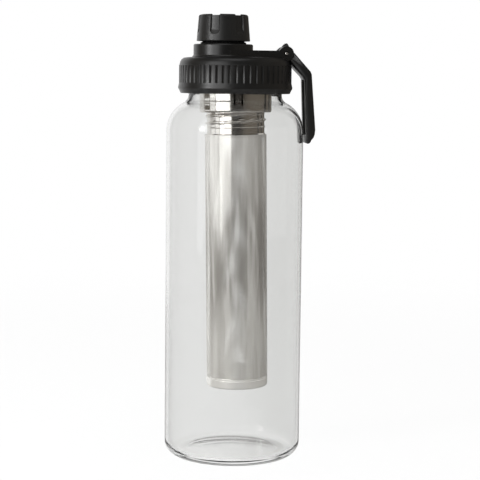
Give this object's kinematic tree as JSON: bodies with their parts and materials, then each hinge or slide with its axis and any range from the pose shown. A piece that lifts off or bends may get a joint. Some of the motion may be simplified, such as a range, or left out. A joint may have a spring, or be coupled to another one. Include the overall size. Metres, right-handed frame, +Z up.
{
  "type": "tea infuser bottle",
  "caption": "Glass bottle with a ribbed black screw lid, offset drinking spout under a fluted cap, swinging carry loop and a steel mesh infuser hanging inside.",
  "frame": {"origin": "centre of the bottle's base, on the bottle's axis at the height of the table", "axes": "+Z up along the bottle's axis, +X towards the carry handle, -Y is the side that the picture shows"},
  "size_m": [0.0915, 0.085, 0.2751],
  "materials": {
    "glass": "clear borosilicate",
    "steel": "polished stainless sheet",
    "mesh": "fine perforated stainless mesh",
    "pin": "turned steel",
    "lid": "satin black",
    "core": "satin black",
    "cap": "satin black",
    "handle": "satin black",
    "silicone": "translucent silicone"
  },
  "bodies": {
    "bottle": {"glass_body": "glass"},
    "infuser_head": {"infuser_collar": "steel", "infuser_gasket": "silicone"},
    "infuser_basket": {"infuser_ring": "steel", "infuser_mesh": "mesh", "infuser_cup": "steel"},
    "lid_seal": {"lid_gasket": "silicone"},
    "lid": {"lid_shell": "lid", "lid_core": "core", "hinge_pin": "pin"},
    "handle": {"carry_handle": "handle"},
    "cap_seal": {"spout_cap_gasket": "silicone"},
    "cap": {"spout_cap": "cap"}
  },
  "joints": [
    {"name": "infuser_lift", "type": "slide", "parent": "bottle", "child": "infuser_head", "axis": [0, 0, 1], "range_m": [0, 0.2]},
    {"name": "basket_unscrew", "type": "slide", "parent": "infuser_head", "child": "infuser_basket", "axis": [0.0157, 0, -0.9999], "range_m": [0, 0.0095]},
    {"name": "lid_rise", "type": "slide", "parent": "infuser_head", "child": "lid_seal", "axis": [0, 0, 1], "range_m": [0, 0.012]},
    {"name": "lid_turn", "type": "hinge", "parent": "lid_seal", "child": "lid", "pos_m": [0, 0, 0.2361], "axis": [0, 0, 1], "range_deg": [0, 1083]},
    {"name": "handle_swing", "type": "hinge", "parent": "lid", "child": "handle", "pos_m": [0.0306, 0, 0.2516], "axis": [0, -1, 0], "range_deg": [0, 150]},
    {"name": "cap_rise", "type": "slide", "parent": "lid", "child": "cap_seal", "axis": [0, 0, 1], "range_m": [0, 0.012]},
    {"name": "cap_turn", "type": "hinge", "parent": "cap_seal", "child": "cap", "pos_m": [-0.0076, 0, 0.2588], "axis": [0, 0, 1], "range_deg": [0, 1444]}
  ],
  "couplings": [
    {"joint": "lid_turn", "follows": "lid_rise", "rad_per_m": 1570.8},
    {"joint": "cap_turn", "follows": "cap_rise", "rad_per_m": 2094.4}
  ]
}
